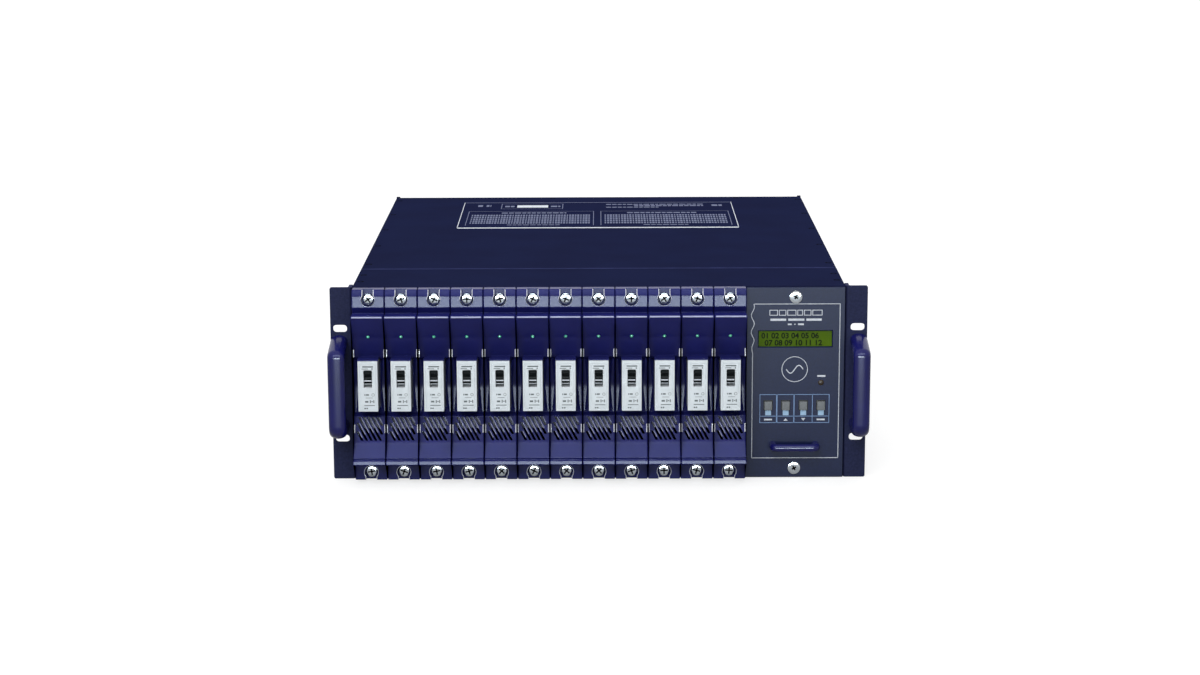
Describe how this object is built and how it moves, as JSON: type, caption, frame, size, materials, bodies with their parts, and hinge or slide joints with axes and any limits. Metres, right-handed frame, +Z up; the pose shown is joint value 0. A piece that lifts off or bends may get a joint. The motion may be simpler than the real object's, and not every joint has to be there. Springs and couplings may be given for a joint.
{
  "type": "rack dimmer pack",
  "caption": "Rack-mount stage dimmer pack: plug-in dimmer modules with breakers and a control module in a navy steel case with bow handles.",
  "frame": {"origin": "middle of the bounding box at the underside of the case", "axes": "+Z up, -Y towards the front with the modules, +X to the right as seen from the front"},
  "size_m": [0.4826, 0.5882, 0.1782],
  "materials": {
    "case_steel": "semi-matt navy powder coat",
    "ear_steel": "textured navy-grey powder coat",
    "fascia_moulding": "smooth navy moulding",
    "handle_moulding": "glossy navy moulding",
    "breaker_white": "off-white moulding",
    "toggle_black": "black moulding",
    "panel_steel": "fine textured grey-navy powder coat",
    "zinc_steel": "zinc plated sheet",
    "display_green": "green liquid crystal display",
    "board_green": "solder-masked circuit board",
    "key_grey": "grey key caps",
    "fan_black": "black moulding",
    "connector_black": "black moulding"
  },
  "bodies": {
    "chassis": {"backplane": "board_green", "base_plate": "case_steel", "fan_frame": "fan_black", "front_top_strip": "case_steel", "mains_gland": "connector_black", "output_socket_left": "connector_black", "output_socket_right": "connector_black", "rack_ear_left": "ear_steel", "rack_ear_right": "ear_steel", "rack_handle_left": "handle_moulding", "rack_handle_right": "handle_moulding", "rear_panel": "case_steel", "side_wall_left": "case_steel", "side_wall_right": "case_steel", "top_cover": "case_steel"},
    "dimmer_01": {"module_01": "fascia_moulding", "breaker_01": "breaker_white"},
    "toggle_01": {"breaker_toggle_01": "toggle_black"},
    "dimmer_02": {"module_02": "fascia_moulding", "breaker_02": "breaker_white"},
    "toggle_02": {"breaker_toggle_02": "toggle_black"},
    "dimmer_03": {"module_03": "fascia_moulding", "breaker_03": "breaker_white"},
    "toggle_03": {"breaker_toggle_03": "toggle_black"},
    "dimmer_04": {"module_04": "fascia_moulding", "breaker_04": "breaker_white"},
    "toggle_04": {"breaker_toggle_04": "toggle_black"},
    "dimmer_05": {"module_05": "fascia_moulding", "breaker_05": "breaker_white"},
    "toggle_05": {"breaker_toggle_05": "toggle_black"},
    "dimmer_06": {"module_06": "fascia_moulding", "breaker_06": "breaker_white"},
    "toggle_06": {"breaker_toggle_06": "toggle_black"},
    "dimmer_07": {"module_07": "fascia_moulding", "breaker_07": "breaker_white"},
    "toggle_07": {"breaker_toggle_07": "toggle_black"},
    "dimmer_08": {"module_08": "fascia_moulding", "breaker_08": "breaker_white"},
    "toggle_08": {"breaker_toggle_08": "toggle_black"},
    "dimmer_09": {"module_09": "fascia_moulding", "breaker_09": "breaker_white"},
    "toggle_09": {"breaker_toggle_09": "toggle_black"},
    "dimmer_10": {"module_10": "fascia_moulding", "breaker_10": "breaker_white"},
    "toggle_10": {"breaker_toggle_10": "toggle_black"},
    "dimmer_11": {"module_11": "fascia_moulding", "breaker_11": "breaker_white"},
    "toggle_11": {"breaker_toggle_11": "toggle_black"},
    "dimmer_12": {"module_12": "fascia_moulding", "breaker_12": "breaker_white"},
    "toggle_12": {"breaker_toggle_12": "toggle_black"},
    "control_unit": {"control_panel": "panel_steel", "control_tray": "zinc_steel", "lcd_display": "display_green", "control_handle": "handle_moulding"},
    "push_key_1": {"key_1": "key_grey"},
    "push_key_2": {"key_2": "key_grey"},
    "push_key_3": {"key_3": "key_grey"},
    "push_key_4": {"key_4": "key_grey"},
    "impeller": {"fan_rotor": "fan_black"}
  },
  "joints": [
    {"name": "module_01_slide", "type": "slide", "parent": "chassis", "child": "dimmer_01", "axis": [0, -1, 0], "range_m": [0, 0.3]},
    {"name": "toggle_01_hinge", "type": "hinge", "parent": "dimmer_01", "child": "toggle_01", "pos_m": [-0.20605, -0.27875, 0.0993], "axis": [1, 0, 0], "range_deg": [0, 76]},
    {"name": "module_02_slide", "type": "slide", "parent": "chassis", "child": "dimmer_02", "axis": [0, -1, 0], "range_m": [0, 0.3]},
    {"name": "toggle_02_hinge", "type": "hinge", "parent": "dimmer_02", "child": "toggle_02", "pos_m": [-0.17665, -0.27875, 0.0993], "axis": [1, 0, 0], "range_deg": [0, 76]},
    {"name": "module_03_slide", "type": "slide", "parent": "chassis", "child": "dimmer_03", "axis": [0, -1, 0], "range_m": [0, 0.3]},
    {"name": "toggle_03_hinge", "type": "hinge", "parent": "dimmer_03", "child": "toggle_03", "pos_m": [-0.14725, -0.27875, 0.0993], "axis": [1, 0, 0], "range_deg": [0, 76]},
    {"name": "module_04_slide", "type": "slide", "parent": "chassis", "child": "dimmer_04", "axis": [0, -1, 0], "range_m": [0, 0.3]},
    {"name": "toggle_04_hinge", "type": "hinge", "parent": "dimmer_04", "child": "toggle_04", "pos_m": [-0.11785, -0.27875, 0.0993], "axis": [1, 0, 0], "range_deg": [0, 76]},
    {"name": "module_05_slide", "type": "slide", "parent": "chassis", "child": "dimmer_05", "axis": [0, -1, 0], "range_m": [0, 0.3]},
    {"name": "toggle_05_hinge", "type": "hinge", "parent": "dimmer_05", "child": "toggle_05", "pos_m": [-0.08845, -0.27875, 0.0993], "axis": [1, 0, 0], "range_deg": [0, 76]},
    {"name": "module_06_slide", "type": "slide", "parent": "chassis", "child": "dimmer_06", "axis": [0, -1, 0], "range_m": [0, 0.3]},
    {"name": "toggle_06_hinge", "type": "hinge", "parent": "dimmer_06", "child": "toggle_06", "pos_m": [-0.05905, -0.27875, 0.0993], "axis": [1, 0, 0], "range_deg": [0, 76]},
    {"name": "module_07_slide", "type": "slide", "parent": "chassis", "child": "dimmer_07", "axis": [0, -1, 0], "range_m": [0, 0.3]},
    {"name": "toggle_07_hinge", "type": "hinge", "parent": "dimmer_07", "child": "toggle_07", "pos_m": [-0.02965, -0.27875, 0.0993], "axis": [1, 0, 0], "range_deg": [0, 76]},
    {"name": "module_08_slide", "type": "slide", "parent": "chassis", "child": "dimmer_08", "axis": [0, -1, 0], "range_m": [0, 0.3]},
    {"name": "toggle_08_hinge", "type": "hinge", "parent": "dimmer_08", "child": "toggle_08", "pos_m": [-0.00025, -0.27875, 0.0993], "axis": [1, 0, 0], "range_deg": [0, 76]},
    {"name": "module_09_slide", "type": "slide", "parent": "chassis", "child": "dimmer_09", "axis": [0, -1, 0], "range_m": [0, 0.3]},
    {"name": "toggle_09_hinge", "type": "hinge", "parent": "dimmer_09", "child": "toggle_09", "pos_m": [0.02915, -0.27875, 0.0993], "axis": [1, 0, 0], "range_deg": [0, 76]},
    {"name": "module_10_slide", "type": "slide", "parent": "chassis", "child": "dimmer_10", "axis": [0, -1, 0], "range_m": [0, 0.3]},
    {"name": "toggle_10_hinge", "type": "hinge", "parent": "dimmer_10", "child": "toggle_10", "pos_m": [0.05855, -0.27875, 0.0993], "axis": [1, 0, 0], "range_deg": [0, 76]},
    {"name": "module_11_slide", "type": "slide", "parent": "chassis", "child": "dimmer_11", "axis": [0, -1, 0], "range_m": [0, 0.3]},
    {"name": "toggle_11_hinge", "type": "hinge", "parent": "dimmer_11", "child": "toggle_11", "pos_m": [0.08795, -0.27875, 0.0993], "axis": [1, 0, 0], "range_deg": [0, 76]},
    {"name": "module_12_slide", "type": "slide", "parent": "chassis", "child": "dimmer_12", "axis": [0, -1, 0], "range_m": [0, 0.3]},
    {"name": "toggle_12_hinge", "type": "hinge", "parent": "dimmer_12", "child": "toggle_12", "pos_m": [0.11735, -0.27875, 0.0993], "axis": [1, 0, 0], "range_deg": [0, 76]},
    {"name": "control_slide", "type": "slide", "parent": "chassis", "child": "control_unit", "axis": [0, -1, 0], "range_m": [0, 0.3]},
    {"name": "key_1_press", "type": "slide", "parent": "control_unit", "child": "push_key_1", "axis": [0, 1, 0], "range_m": [0, 0.0012], "stiffness_N_per_m": 600, "springref_m": -0.0005},
    {"name": "key_2_press", "type": "slide", "parent": "control_unit", "child": "push_key_2", "axis": [0, 1, 0], "range_m": [0, 0.0012], "stiffness_N_per_m": 600, "springref_m": -0.0005},
    {"name": "key_3_press", "type": "slide", "parent": "control_unit", "child": "push_key_3", "axis": [0, 1, 0], "range_m": [0, 0.0012], "stiffness_N_per_m": 600, "springref_m": -0.0005},
    {"name": "key_4_press", "type": "slide", "parent": "control_unit", "child": "push_key_4", "axis": [0, 1, 0], "range_m": [0, 0.0012], "stiffness_N_per_m": 600, "springref_m": -0.0005},
    {"name": "fan_spin", "type": "hinge", "parent": "chassis", "child": "impeller", "pos_m": [0.152, 0.24885, 0.0885], "axis": [0, 1, 0], "continuous": true}
  ]
}
